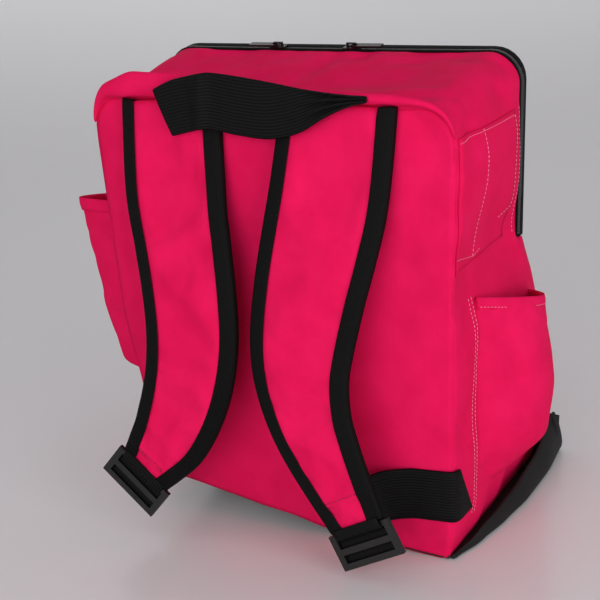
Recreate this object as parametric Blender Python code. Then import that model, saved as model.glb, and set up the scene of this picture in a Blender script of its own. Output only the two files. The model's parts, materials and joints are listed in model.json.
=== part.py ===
"""Rucksack-style ski boot bag, built from its sewn panels, webbing and zip hardware.

Metres, +Z up. The shoulder straps face -Y, the lid faces +Y. The origin is the middle of
the underside of the base panel, on the surface that the bag stands on.
"""
import math

import bmesh
import bpy
from mathutils import Matrix, Vector

# ---- bag body -------------------------------------------------------------------------
base_half_width = 0.1665      # half of the width at the base
side_taper = 0.036            # outward lean of each side, metres per metre of height
base_depth = 0.230            # from the back panel to the front edge of the base
back_height = 0.405           # top seam of the back panel
rim_height = 0.437            # top of the lid and of the zip
rim_depth = 0.167             # from the back panel to the outside of the lid
lid_hinge_height = 0.262      # seam below the lid, where the zip ends on each side
skid_height = 0.060           # how far the black base fabric wraps up the front
skid_reach = 0.252            # from the back panel to the top edge of the skid flap
bulge_height = 0.135          # height at which the lower front stands out furthest
bulge_reach = 0.246           # how far that is from the back panel
corner_radius = 0.028         # rounded top corners
corner_steps = 6
cloth = 0.0016                # coated pack cloth with its lining
gap = 0.0003                  # between pieces that touch

# ---- stiffeners and piping ------------------------------------------------------------
foam_thickness = 0.006
foam_inset = 0.008            # from the edge of the back panel
board_thickness = 0.0025
board_inset = 0.006
piping_radius = 0.0045
piping_lift = 0.0008          # middle of the piping above the top seam
piping_sides = 10

# ---- zip ------------------------------------------------------------------------------
zip_tape = 0.0012             # thickness
zip_half_width = 0.0085       # each half of the zip
slider_length = 0.016
slider_width = 0.009
slider_plate = 0.002
slider_places = {"left": -0.068, "right": 0.012}
arch_length = 0.010           # the bail that holds the pull
arch_width = 0.002
arch_window = (0.006, 0.0028)
arch_bar = 0.0012
pull_length = 0.032
pull_width = 0.008
pull_thickness = 0.0014
pull_slot = (0.0065, 0.0028)  # along the pull, and across it

# ---- side pockets ---------------------------------------------------------------------
pocket_cloth = 0.0014
pocket_columns = 12
right_pocket = {"rear": 0.046, "front": 0.178, "floor": 0.030, "mouth_rear": 0.238,
                "mouth_front": 0.200, "stand_off": 0.042, "widest": 0.60, "rise": 0.06}
left_pocket = {"rear": 0.022, "front": 0.158, "floor": 0.112, "mouth_rear": 0.312,
               "mouth_front": 0.286, "stand_off": 0.047, "widest": 0.10, "rise": 0.02}
patch = {"rear": 0.058, "front": 0.124, "height": 0.089, "below_corner": 0.011, "notch": 0.030}
patch_cloth = 0.0010

# ---- shoulder straps ------------------------------------------------------------------
strap_cloth = 0.0010
strap_foam = 0.0050
tongue_foam = 0.0010          # what is left of the foam at the buckle end
binding_cloth = 0.0010
binding_cover = 0.013         # how far the binding reaches in from the edge
binding_room = 0.0007         # between the binding and the layers that it wraps
strap_steps = 26
foam_end = 0.93               # share of the strap's length that holds foam
strap_hang = back_height - 0.007   # the straps' ends, just below the piping
strap_hang_off = 0.0062       # middle of the strap out from the back panel there
drawn_hang = 0.398            # seam height and half width that the routes were drawn for
drawn_half_width = 0.1808
# middle of the strap from the top seam to the buckle: across, out from the back, height, width
strap_routes = {
    "left": ((-0.089, strap_hang_off, drawn_hang, 0.098), (-0.085, 0.019, 0.335, 0.102),
             (-0.076, 0.029, 0.288, 0.099), (-0.068, 0.038, 0.247, 0.096),
             (-0.064, 0.045, 0.208, 0.093), (-0.067, 0.050, 0.172, 0.088),
             (-0.077, 0.053, 0.138, 0.082), (-0.091, 0.056, 0.108, 0.074),
             (-0.108, 0.058, 0.085, 0.062), (-0.122, 0.060, 0.068, 0.052)),
    "right": ((0.079, strap_hang_off, drawn_hang, 0.102), (0.072, 0.019, 0.343, 0.106),
              (0.065, 0.029, 0.300, 0.104), (0.057, 0.038, 0.258, 0.100),
              (0.050, 0.045, 0.213, 0.095), (0.050, 0.050, 0.180, 0.089),
              (0.057, 0.053, 0.146, 0.081), (0.070, 0.056, 0.116, 0.073),
              (0.086, 0.058, 0.085, 0.063), (0.103, 0.060, 0.053, 0.053)),
}

# ---- webbing, buckles and handle ------------------------------------------------------
webbing_width = 0.050
webbing = 0.0018
lock_room = 0.002             # beside the loop, inside the buckle's rails
lock_thickness = 0.0040
lock_bars = (0.005, 0.006, 0.006)   # top, middle and bottom bar
lock_slots = (0.009, 0.008)
lock_rail = 0.0065
loop_width = 0.050
loop_cloth = 0.0012
loop_overlap = 0.016          # how far the buckle loop laps the end of the strap
lock_drop = 0.0012            # from the end of the strap to the top bar
loop_room = 0.0009            # below the top bar, where it turns in the loop
webbing_seam_height = 0.066
webbing_behind = 0.0028       # between the buckle loop and the webbing
webbing_end_height = {"left": 0.046, "right": 0.040}
handle_ends = (-0.104, 0.100)
handle_height = back_height + 0.0060   # middle of the handle as it hangs
handle_hinge = back_height + 0.0146    # where its ends turn in the seam
handle_stand_off = 0.0230
handle_end_off = 2 * piping_radius + 0.0007   # its ends lie on the piping
handle_thickness = 0.0024
handle_steps = 18

# ---- worked out from the sizes above --------------------------------------------------
back_y = -base_depth / 2
lid_y = back_y + rim_depth
coil_y = lid_y - cloth - gap - zip_half_width
rim_slope = math.atan2(rim_height - back_height, rim_depth)
lock_width = loop_width + 2 * (lock_room + lock_rail)
tongue_half = tongue_foam / 2 + 2 * gap + strap_cloth + binding_room + binding_cloth
loop_inner = max(lock_thickness / 2 + gap, tongue_half)


def hex_colour(text):
    """Linear RGBA of an sRGB colour written as six hex digits."""
    parts = [int(text[i:i + 2], 16) / 255 for i in (0, 2, 4)]
    linear = [c / 12.92 if c <= 0.04045 else ((c + 0.055) / 1.055) ** 2.4 for c in parts]
    return (*linear, 1.0)


def make_material(name, colour, roughness, metallic=0.0):
    material = bpy.data.materials.new(name)
    material.use_nodes = True
    shader = material.node_tree.nodes["Principled BSDF"]
    shader.inputs["Base Color"].default_value = hex_colour(colour)
    shader.inputs["Roughness"].default_value = roughness
    shader.inputs["Metallic"].default_value = metallic
    return material


def halves(points, face):
    """A quad cut along its shorter diagonal, so that layers above each other cut alike."""
    if len(face) != 4:
        return [face]
    a, b, c, d = face
    first = (Vector(points[a]) - Vector(points[c])).length
    second = (Vector(points[b]) - Vector(points[d])).length
    if first <= second:
        return [(a, b, c), (a, c, d)]
    return [(b, c, d), (b, d, a)]


def add_mesh(name, points, faces, material, place=None):
    """One object from points and faces, its faces turned outwards."""
    mesh = bpy.data.meshes.new(name)
    bm = bmesh.new()
    corners = [bm.verts.new(p) for p in points]
    for face in faces:
        for part in halves(points, face):
            bm.faces.new([corners[i] for i in part])
    bmesh.ops.recalc_face_normals(bm, faces=bm.faces[:])
    bm.to_mesh(mesh)
    bm.free()
    mesh.materials.append(material)
    thing = bpy.data.objects.new(name, mesh)
    bpy.context.collection.objects.link(thing)
    if place is not None:
        thing.matrix_world = place
    return thing


def set_pivot(names, place):
    """Put the origins of a moving body's pieces on its joint axis."""
    for name in names:
        thing = bpy.data.objects[name]
        shift = place.inverted() @ thing.matrix_world
        thing.data.transform(shift)
        thing.matrix_world = place


def loft(name, rings, material, place=None):
    """Skin between equal closed rings, with a cap on the first and the last."""
    count = len(rings[0])
    points = [p for ring in rings for p in ring]
    faces = [list(range(count)), [len(points) - 1 - i for i in range(count)]]
    for row in range(len(rings) - 1):
        for i in range(count):
            j = (i + 1) % count
            a = row * count
            faces.append((a + i, a + j, a + count + j, a + count + i))
    return add_mesh(name, points, faces, material, place)


def sheet(name, outer, inner, material):
    """Closed sheet between two grids of points, each a list of equal rows."""
    rows = len(outer)
    columns = len(outer[0])
    points = [p for row in outer for p in row] + [p for row in inner for p in row]
    shift = rows * columns
    faces = []
    for r in range(rows - 1):
        for c in range(columns - 1):
            a = r * columns + c
            quad = (a, a + 1, a + columns + 1, a + columns)
            faces.append(quad)
            faces.append(tuple(i + shift for i in reversed(quad)))
    edge = [c for c in range(columns)]
    edge += [r * columns + columns - 1 for r in range(1, rows)]
    edge += [(rows - 1) * columns + c for c in range(columns - 2, -1, -1)]
    edge += [r * columns for r in range(rows - 2, 0, -1)]
    for i, a in enumerate(edge):
        b = edge[(i + 1) % len(edge)]
        faces.append((b, a, a + shift, b + shift))
    return add_mesh(name, points, faces, material)


def slotted_plate(name, xs, ys, slots, thickness, material, place):
    """Flat plate on a grid of lines, with the listed cells (column, row) left open."""
    columns = len(xs) - 1
    rows = len(ys) - 1
    solid = {(c, r) for c in range(columns) for r in range(rows)} - set(slots)
    points = [(x, y, z) for z in (-thickness / 2, thickness / 2) for y in ys for x in xs]
    layer = len(xs) * len(ys)

    def at(c, r, top):
        return r * len(xs) + c + layer * top

    faces = []
    for c, r in sorted(solid):
        low = [at(c, r, 0), at(c + 1, r, 0), at(c + 1, r + 1, 0), at(c, r + 1, 0)]
        faces.append(tuple(reversed(low)))
        faces.append(tuple(i + layer for i in low))
        beside = ((c, r - 1), (c + 1, r), (c, r + 1), (c - 1, r))
        for side, cell in enumerate(beside):
            if cell not in solid:
                a = low[side]
                b = low[(side + 1) % 4]
                faces.append((a, b, b + layer, a + layer))
    thing = add_mesh(name, points, faces, material, place)
    return thing


def half_width(z):
    """Half of the bag's outside width at a height."""
    return base_half_width + side_taper * z


def rim_top(y):
    """Height of the rounded arch of the top at a distance along the bag."""
    return back_height + (rim_height - back_height) * (y - back_y) / rim_depth


def arch(y, inset, foot, steps=corner_steps):
    """Right-to-left line up one side, round both top corners and down the other side."""
    top = rim_top(y)
    turn = top - corner_radius
    radius = corner_radius - inset
    middle = half_width(turn) - corner_radius
    right = [(half_width(foot) - inset, foot)]
    for i in range(steps + 1):
        angle = math.pi / 2 * i / steps
        right.append((middle + radius * math.cos(angle), turn + radius * math.sin(angle)))
    left = [(-x, z) for x, z in reversed(right)]
    return [Vector((x, y, z)) for x, z in right + left]


def inset_profile(points, amount):
    """The same closed outline (y, z), its sides moved inwards by an amount."""
    moved = []
    count = len(points)
    for i in range(count):
        before = Vector(points[i - 1])
        here = Vector(points[i])
        after = Vector(points[(i + 1) % count])
        first = (here - before).normalized()
        second = (after - here).normalized()
        normal = Vector((-first.y, first.x)) + Vector((-second.y, second.x))
        normal.normalize()
        stretch = amount / normal.dot(Vector((-second.y, second.x)))
        moved.append(here + normal * stretch)
    return moved


side_profile = ((back_y, 0.0), (back_y + base_depth, 0.0), (back_y + skid_reach, skid_height),
                (back_y + bulge_reach, bulge_height), (lid_y, lid_hinge_height),
                (lid_y, rim_height), (back_y, back_height))
lining_profile = inset_profile(side_profile, cloth)
clear_profile = inset_profile(side_profile, cloth + gap)


def trimmed(a, b, start, end):
    """Points a and b moved along their line, by a distance at each end."""
    a = Vector(a)
    b = Vector(b)
    along = (b - a).normalized()
    return a + along * start, b - along * end


def wrap_panel(name, corners, material):
    """Panel of full width that follows the side profile through the numbered corners."""
    outer = [Vector(side_profile[i]) for i in corners]
    inner = [Vector(lining_profile[i]) for i in corners]
    for line in (outer, inner):
        line[0], _ = trimmed(line[0], line[1], gap / 2, 0.0)
        _, line[-1] = trimmed(line[-2], line[-1], 0.0, gap / 2)
    grids = []
    for line in (outer, inner):
        grids.append([[Vector((side * half_width(z), y, z)) for side in (-1, 1)]
                      for y, z in line])
    return sheet(name, grids[0], grids[1], material)


def add_body(pink, black, foam, board):
    """Panels, stiffeners and piping of the bag."""
    floor = cloth + gap
    loft("back_panel", [arch(back_y, gap, floor), arch(back_y + cloth, gap, floor)], pink)
    foam_front = back_y + cloth + gap
    foam_foot = floor + foam_inset
    foam_rings = [arch(y, foam_inset, foam_foot) for y in (foam_front, foam_front + foam_thickness)]
    for ring in foam_rings:
        for point in ring:
            point.z -= 0.0 if point.z < strap_hang / 2 else foam_inset / 2
    loft("back_foam", foam_rings, foam)

    behind = back_y + cloth + gap
    zip_rear = coil_y - zip_half_width
    lines = []
    for inset in (0.0, cloth):
        rows = []
        for y in (behind, zip_rear - gap):
            rows.append(arch(y, inset, rim_top(y) - corner_radius)[1:-1])
        lines.append(rows)
    sheet("top_gusset", lines[0], lines[1], pink)

    outline = [(behind, floor)] + [tuple(clear_profile[i]) for i in (1, 2, 3)]
    below_lid = lid_hinge_height - gap
    outline.append((lid_y - cloth - 2 * gap, below_lid))
    outline.append((zip_rear - gap, below_lid))
    for y in (zip_rear - gap, behind):
        outline.append((y, rim_top(y) - corner_radius - gap))
    for name, side in (("left", -1), ("right", 1)):
        rings = [[Vector((side * (half_width(z) - inset), y, z)) for y, z in outline]
                 for inset in (0.0, cloth)]
        loft(name + "_gusset", rings, pink)

    front = clear_profile[1][0]
    edge = half_width(0.0)
    base = [Vector((-edge, back_y, 0)), Vector((edge, back_y, 0)),
            Vector((edge, side_profile[1][0] - gap / 2, 0)),
            Vector((-edge, side_profile[1][0] - gap / 2, 0))]
    lining_front = lining_profile[1][0] - gap / 2
    top = [Vector((p.x, min(p.y, lining_front), cloth)) for p in base]
    loft("base_panel", [base, top], black)
    inside = edge - cloth - board_inset
    near = behind + foam_thickness + gap
    far = front - board_inset
    levels = (floor, floor + board_thickness)
    loft("base_board", [[Vector((x, y, z)) for x, y in
                         ((-inside, near), (inside, near), (inside, far), (-inside, far))]
                        for z in levels], board)
    wrap_panel("skid_flap", (1, 2), black)
    wrap_panel("lower_front_panel", (2, 3, 4), pink)

    piping_y = back_y - piping_radius - gap
    line = arch(back_y, -piping_lift, back_height - corner_radius)[1:-1]
    rings = []
    for i, point in enumerate(line):
        ahead = line[min(i + 1, len(line) - 1)] - line[max(i - 1, 0)]
        out = Vector((ahead.z, 0, -ahead.x)).normalized()
        ring = []
        for k in range(piping_sides):
            angle = 2 * math.pi * k / piping_sides
            offset = out * math.cos(angle) + Vector((0, 1, 0)) * math.sin(angle)
            ring.append(Vector((point.x, piping_y, point.z)) + offset * piping_radius)
        rings.append(ring)
    loft("top_piping", rings, pink)


def add_lid(pink, black):
    """Front lid and the two halves of the zip round its edge."""
    foot = lid_hinge_height + gap
    loft("front_lid", [arch(y, 0.0, foot) for y in (lid_y - cloth, lid_y)], pink)
    halves = (("zip_tape_body", coil_y - zip_half_width, coil_y - gap / 2),
              ("zip_tape_lid", coil_y + gap / 2, coil_y + zip_half_width))
    for name, near, far in halves:
        grids = [[arch(y, inset, foot) for y in (near, far)] for inset in (0.0, zip_tape)]
        sheet(name, grids[0], grids[1], black)


def add_slider(side, metal):
    """One zip slider and its pull, hinged in the slider's arch."""
    direction = -1 if side == "left" else 1
    seat = Vector((slider_places[side], coil_y, rim_top(coil_y)))
    frame = Matrix.Translation(seat) @ Matrix.Rotation(rim_slope, 4, "X")
    half = slider_length / 2
    lift = gap
    plate_ring = [Vector((-half, 0, lift)), Vector((half, 0, lift)),
                  Vector((half, 0, lift + slider_plate)),
                  Vector((-half, 0, lift + slider_plate))]
    rings = [[p + Vector((0, y, 0)) for p in plate_ring]
             for y in (-slider_width / 2, slider_width / 2)]
    slider = loft(side + "_zip_slider", rings, metal, frame)
    window_half = arch_window[0] / 2
    feet = lift + slider_plate
    outer_half = arch_length / 2
    xs = (-outer_half, -window_half, window_half, outer_half)
    zs = (feet - slider_plate / 2, feet, feet + arch_window[1], feet + arch_window[1] + arch_bar)
    upright = frame @ Matrix.Rotation(math.pi / 2, 4, "X")
    bail = slotted_plate(side + "_arch_cutter", xs, zs, [(1, 1)], arch_width, metal, upright)
    bail.hide_render = True
    bail.display_type = "WIRE"
    join = slider.modifiers.new("arch", "BOOLEAN")
    join.operation = "UNION"
    join.solver = "EXACT"
    join.object = bail

    axis_height = feet + arch_window[1] / 2
    hinge = frame @ Matrix.Translation((0, 0, axis_height))
    bar = pull_thickness / 2
    slot_end = bar + pull_slot[0]
    xs = [-bar, bar, slot_end, pull_length]
    if direction < 0:
        xs = [-x for x in reversed(xs)]
    ys = (-pull_width / 2, -pull_slot[1] / 2, pull_slot[1] / 2, pull_width / 2)
    slotted_plate(side + "_zip_pull", xs, ys, [(1, 1)], pull_thickness, metal, hinge)


def add_pocket(side, sizes, pink):
    """Open-topped pocket that stands off the side of the bag."""
    sign = -1 if side == "left" else 1
    shares = (0.0, 0.03, 0.10, 0.30, 0.55, 0.80, 1.0)
    fullness = (0.0, 0.55, 0.80, 1.0, 1.0, 0.92, 0.86)
    grids = []
    for lift in (pocket_cloth, 0.0):
        rows = []
        for share, full in zip(shares, fullness):
            row = []
            for c in range(pocket_columns + 1):
                s = c / pocket_columns
                mouth = sizes["mouth_rear"] + (sizes["mouth_front"] - sizes["mouth_rear"]) * s
                z = sizes["floor"] + (mouth - sizes["floor"]) * share
                y = back_y + sizes["rear"] + (sizes["front"] - sizes["rear"]) * s
                out = sizes["stand_off"] * full * swell(s, sizes["widest"], sizes["rise"])
                row.append(Vector((sign * (half_width(z) + gap + lift + out), y, z)))
            rows.append(row)
        grids.append(rows)
    sheet(side + "_side_pocket", grids[0], grids[1], pink)


def swell(s, widest, rise):
    """How far a pocket stands out along its mouth, from 0 at its seams to 1."""
    if s < widest:
        return math.sin(math.pi / 2 * s / widest) ** (0.6 + rise)
    return math.cos(math.pi / 2 * (s - widest) / (1 - widest)) ** 0.8


def add_patch(side, pink):
    """Stitched reinforcing patch high on the side."""
    sign = -1 if side == "left" else 1
    rear = back_y + patch["rear"]
    front = back_y + patch["front"]
    top = back_height - corner_radius - patch["below_corner"]
    bottom = top - patch["height"]
    middle = (bottom + top) / 2
    outline = ((rear, bottom), (front - patch["notch"], bottom),
               (front - patch["notch"], middle - patch["notch"] / 2), (front, middle),
               (front, top), (rear, top))
    rings = [[Vector((sign * (half_width(z) + lift), y, z)) for y, z in outline]
             for lift in (gap, gap + patch_cloth)]
    loft(side + "_side_patch", rings, pink)


def smooth_route(points, steps):
    """Even samples of a smooth curve through a route's points of any dimension."""
    samples = []
    spans = len(points) - 1
    for k in range(steps + 1):
        t = min(k / steps * spans, spans - 1e-9)
        i = int(t)
        f = t - i
        p0 = points[max(i - 1, 0)]
        p1 = points[i]
        p2 = points[i + 1]
        p3 = points[min(i + 2, spans)]
        value = []
        for a, b, c, d in zip(p0, p1, p2, p3):
            value.append(0.5 * (2 * b + (c - a) * f + (2 * a - 5 * b + 4 * c - d) * f ** 2
                                + (3 * b - a - 3 * c + d) * f ** 3))
        samples.append(value)
    return samples


def strap_stations(side):
    """Middle, direction across, direction out and width at each step down the strap."""
    route = smooth_route(strap_routes[side], strap_steps)
    spread = half_width(strap_hang) / drawn_half_width
    drop = strap_hang / drawn_hang
    middles = [Vector((x * spread, back_y - out, z * drop)) for x, out, z, _ in route]
    stations = []
    out = Vector((0, -1, 0))
    for i, middle in enumerate(middles):
        down = (middles[min(i + 1, strap_steps)] - middles[max(i - 1, 0)]).normalized()
        across = Vector((-down.z, 0, down.x)).normalized() if i else Vector((1, 0, 0))
        stations.append((middle, down, across, out, route[i][3]))
    return stations


def foam_at(i):
    """Thickness of the strap's foam at a step, thinning towards the buckle."""
    share = i / strap_steps
    start = foam_end - 0.18
    if share <= start:
        return strap_foam
    fade = min((share - start) / (foam_end - start), 1.0)
    return strap_foam + (tongue_foam - strap_foam) * fade


def add_strap(side, pink, black, foam):
    """Padded shoulder strap: lining, foam, face and a binding along each edge."""
    stations = strap_stations(side)
    edge_room = binding_cloth + binding_room
    layers = (("strap_lining", pink), ("strap_foam", foam), ("strap_face", pink))
    for layer, (name, material) in enumerate(layers):
        rings = []
        for i, (middle, down, across, out, width) in enumerate(stations):
            half = width / 2 - edge_room
            inside = foam_at(i) / 2
            lows = (-inside - gap - strap_cloth, -inside, inside + gap)
            highs = (-inside - gap, inside, inside + gap + strap_cloth)
            ring = [middle + across * a + out * b for a, b in
                    ((-half, lows[layer]), (half, lows[layer]),
                     (half, highs[layer]), (-half, highs[layer]))]
            rings.append(ring)
        if name == "strap_foam":
            rings = rings[:int(strap_steps * foam_end) + 1]
        loft(side + "_" + name, rings, material)
    for edge, sign in (("inner", -1), ("outer", 1)):
        if side == "left":
            sign = -sign
        rings = []
        for i, (middle, down, across, out, width) in enumerate(stations):
            layer_top = foam_at(i) / 2 + gap + strap_cloth + binding_room
            wrap = layer_top + binding_cloth
            far = width / 2
            near = far - binding_cover
            bend = far - binding_cloth
            section = ((near, layer_top), (bend, layer_top), (bend, -layer_top),
                       (near, -layer_top), (near, -wrap), (far, -wrap), (far, wrap), (near, wrap))
            rings.append([middle + across * sign * a + out * b for a, b in section])
        loft(side + "_" + edge + "_binding", rings, black)


def lock_frame(side):
    """Where the top of the buckle sits: X across, Y up the strap, Z out from the bag."""
    middle, down, across, _, _ = strap_stations(side)[-1]
    up = -down
    out = across.cross(up).normalized()
    top = middle + down * lock_drop
    return Matrix(((across.x, up.x, out.x, top.x), (across.y, up.y, out.y, top.y),
                   (across.z, up.z, out.z, top.z), (0, 0, 0, 1)))


def add_buckle(side, plastic, pink):
    """Ladder-lock buckle and the cloth loop that ties it to the end of the strap."""
    frame = lock_frame(side)
    half = lock_width / 2
    xs = (-half, -half + lock_rail, half - lock_rail, half)
    ys = [0.0]
    for size in (lock_bars[0], lock_slots[0], lock_bars[1], lock_slots[1], lock_bars[2]):
        ys.insert(0, ys[0] - size)
    slotted_plate(side + "_ladder_lock", xs, ys, [(1, 1), (1, 3)], lock_thickness,
                  plastic, frame)
    inner = loop_inner
    outer = inner + loop_cloth
    low = -lock_bars[0] - loop_room
    section = ((loop_overlap, inner), (loop_overlap, outer), (low - loop_cloth / 2, outer),
               (low - loop_cloth, outer - loop_cloth / 2), (low - loop_cloth, loop_cloth / 2 - outer),
               (low - loop_cloth / 2, -outer), (loop_overlap, -outer), (loop_overlap, -inner),
               (low, -inner), (low, inner))
    rings = [[Vector((x, y, z)) for y, z in section] for x in (-loop_width / 2, loop_width / 2)]
    loft(side + "_buckle_loop", rings, pink, frame)


def add_lower_webbing(side, black):
    """Webbing from the side seam to behind the buckle's lower bars."""
    sign = -1 if side == "left" else 1
    frame = lock_frame(side)
    behind = frame @ Vector((0, -sum(lock_bars[:2]) - lock_slots[0], 0))
    seam_x = sign * (half_width(webbing_seam_height) - webbing)
    seam_y = back_y - 3 * gap - webbing / 2
    loop_back = frame @ Vector((0, loop_overlap, -loop_inner - loop_cloth))
    back_of_lock = loop_back.y + webbing / 2 + webbing_behind
    end_z = webbing_end_height[side]
    route = ((seam_x, seam_y, webbing_seam_height),
             (seam_x - sign * 0.014, seam_y - 0.0080, webbing_seam_height - 0.004),
             (seam_x - sign * 0.026, (seam_y + back_of_lock) / 2,
              (webbing_seam_height + end_z) / 2),
             (behind.x + sign * 0.012, back_of_lock, end_z),
             (behind.x - sign * 0.016, back_of_lock, end_z - 0.002))
    rings = []
    samples = [Vector(p) for p in smooth_route(route, 14)]
    for i, point in enumerate(samples):
        along = samples[min(i + 1, 14)] - samples[max(i - 1, 0)]
        up = Vector((0, 0, 1))
        out = along.cross(up).normalized()
        rise = out.cross(along).normalized()
        ring = [point + rise * a + out * b for a, b in
                ((-webbing_width / 2, -webbing / 2), (webbing_width / 2, -webbing / 2),
                 (webbing_width / 2, webbing / 2), (-webbing_width / 2, webbing / 2))]
        rings.append(ring)
    loft(side + "_lower_webbing", rings, black)


def add_handle(black):
    """Webbing carry handle, hanging from the top seam over the tops of the straps."""
    first, last = handle_ends
    rings = []
    for i in range(handle_steps + 1):
        s = i / handle_steps
        x = first + (last - first) * s
        lift = math.sin(math.pi * s) ** 0.5 if 0 < s < 1 else 0.0
        y = back_y - handle_end_off - (handle_stand_off - handle_end_off) * lift
        full = webbing_width / 2
        half = full * (0.45 + 0.55 * min(1.0, 5.0 * s, 3.2 * (1 - s)))
        z = handle_height + (full - half) * 0.6
        rings.append([Vector((x, y, z - half)), Vector((x, y - handle_thickness, z - half)),
                      Vector((x, y - handle_thickness, z + half)), Vector((x, y, z + half))])
    loft("haul_handle", rings, black)


def main():
    for thing in list(bpy.data.objects):
        bpy.data.objects.remove(thing, do_unlink=True)
    pink = make_material("pink_pack_cloth", "D41C55", 0.70)
    black = make_material("black_webbing", "100E0F", 0.80)
    plastic = make_material("black_acetal", "141414", 0.42)
    metal = make_material("black_zinc", "2A2A2C", 0.38, 0.8)
    foam = make_material("grey_foam", "8C8C8C", 0.90)
    board = make_material("plastic_board", "3A3A3A", 0.60)
    add_body(pink, black, foam, board)
    add_lid(pink, black)
    for side in ("left", "right"):
        add_slider(side, metal)
        add_patch(side, pink)
        add_strap(side, pink, black, foam)
        add_buckle(side, plastic, pink)
        add_lower_webbing(side, black)
    add_pocket("left", left_pocket, pink)
    add_pocket("right", right_pocket, pink)
    add_handle(black)
    set_pivot(("front_lid", "zip_tape_lid"), Matrix.Translation((0, lid_y, lid_hinge_height)))
    hang = Matrix.Translation((0, back_y - strap_hang_off, strap_hang))
    for side in ("left", "right"):
        set_pivot([side + end for end in ("_strap_lining", "_strap_foam", "_strap_face",
                                          "_inner_binding", "_outer_binding",
                                          "_buckle_loop")], hang)
        bar = lock_frame(side) @ Matrix.Translation((0, -lock_bars[0] / 2, 0))
        set_pivot([side + "_ladder_lock"], bar)
    handle_y = back_y - handle_end_off - handle_thickness / 2
    set_pivot(["haul_handle"], Matrix.Translation((0, handle_y, handle_hinge)))


main()
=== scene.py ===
import bpy, bmesh, json
from math import cos, exp, log, pi, radians, sin
from mathutils import Vector, Matrix, noise
from mathutils.bvhtree import BVHTree

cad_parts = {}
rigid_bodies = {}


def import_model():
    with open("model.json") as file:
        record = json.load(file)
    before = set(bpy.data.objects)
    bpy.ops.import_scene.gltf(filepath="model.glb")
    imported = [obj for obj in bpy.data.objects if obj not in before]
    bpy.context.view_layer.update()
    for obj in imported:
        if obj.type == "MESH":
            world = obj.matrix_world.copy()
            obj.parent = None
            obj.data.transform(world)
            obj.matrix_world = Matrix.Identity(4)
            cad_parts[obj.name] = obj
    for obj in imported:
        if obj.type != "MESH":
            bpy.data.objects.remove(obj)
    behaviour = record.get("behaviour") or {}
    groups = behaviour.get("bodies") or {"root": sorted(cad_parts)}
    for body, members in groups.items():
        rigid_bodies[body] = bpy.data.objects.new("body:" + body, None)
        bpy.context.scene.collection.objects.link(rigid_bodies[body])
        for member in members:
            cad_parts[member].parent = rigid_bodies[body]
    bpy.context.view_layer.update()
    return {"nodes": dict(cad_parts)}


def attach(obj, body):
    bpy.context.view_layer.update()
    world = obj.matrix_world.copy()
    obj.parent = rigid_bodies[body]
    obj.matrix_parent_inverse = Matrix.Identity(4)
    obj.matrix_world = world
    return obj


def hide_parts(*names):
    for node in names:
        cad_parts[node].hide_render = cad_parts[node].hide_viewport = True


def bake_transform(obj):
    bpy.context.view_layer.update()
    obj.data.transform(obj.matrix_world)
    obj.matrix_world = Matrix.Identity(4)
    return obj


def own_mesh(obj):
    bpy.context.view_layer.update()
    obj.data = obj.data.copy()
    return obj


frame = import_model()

scene = bpy.context.scene

# numbers shared by several pieces, in metres; +X is right seen from the strap side
backY = -0.115  # the plane of the back panel
hingeZ = 0.262  # the lid folds here
zipY = 0.0416  # middle of the zip teeth
tapeHalf = 0.0045  # how much of each half of the zip tape shows
cornerR = 0.028  # rounding of the upper corners
rimDepth = 0.167  # from the back panel to the front edge of the arch
backTop = 0.413  # height of the top seam at the back
frontRise = 0.024  # how much higher the top stands at the front
straightTop = 0.377  # the upright sides begin to round over here
leanTop = 0.25  # the lift of the leaning bag has faded out here
clothMm = 1.2  # thickness of the pink cloth


def ramp(x, xs, ys):
    # smooth curve through the points, level past the ends
    if x <= xs[0]:
        return ys[0]
    for i in range(len(xs) - 1):
        if x <= xs[i + 1]:
            f = (x - xs[i]) / (xs[i + 1] - xs[i])
            f = f * f * (3 - 2 * f) * 0.55 + f * 0.45
            return ys[i] + (ys[i + 1] - ys[i]) * f
    return ys[-1]


def clamp(x, a=0.0, b=1.0):
    return max(a, min(b, x))


def smooth(a, b, x):
    f = clamp((x - a) / (b - a))
    return f * f * (3 - 2 * f)


def wobble(p, scale, seed):
    # repeatable soft noise, -1 to 1
    return noise.noise(Vector((p[0] / scale + seed * 7.3, p[1] / scale - seed * 3.1, p[2] / scale + seed)))


def rgb(hexText):
    out = []
    for i in (0, 2, 4):
        c = int(hexText[i:i + 2], 16) / 255
        out.append(c / 12.92 if c <= 0.04045 else ((c + 0.055) / 1.055) ** 2.4)
    return (*out, 1.0)


def addNode(tree, kind, settings=None, links=None):
    # one node, its settings, and what feeds each input
    node = tree.nodes.new("ShaderNode" + kind)
    for key, value in (settings or {}).items():
        if isinstance(key, int) or key in node.inputs:
            node.inputs[key].default_value = value
        else:
            setattr(node, key, value)
    for key, source in (links or {}).items():
        tree.links.new(source, node.inputs[key])
    return node


def newMaterial(name, baseHex, roughness, metallic=0.0, ior=1.5, specular=0.5, coat=0.0):
    mat = bpy.data.materials.new(name)
    mat.use_nodes = True
    tree = mat.node_tree
    shader = tree.nodes["Principled BSDF"]
    for key, value in (("Base Color", rgb(baseHex)), ("Roughness", roughness), ("Metallic", metallic),
            ("IOR", ior), ("Specular IOR Level", specular), ("Coat Weight", coat)):
        shader.inputs[key].default_value = value
    return mat, tree, shader


def colourBetween(tree, shader, factor, a, b):
    node = addNode(tree, "Mix", {"data_type": "RGBA", 6: rgb(a), 7: rgb(b)}, {0: factor})
    tree.links.new(node.outputs[2], shader.inputs["Base Color"])


def unevenGloss(tree, shader, low, high, source):
    node = addNode(tree, "MapRange", {"To Min": low, "To Max": high}, {"Value": source})
    tree.links.new(node.outputs["Result"], shader.inputs["Roughness"])


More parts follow.
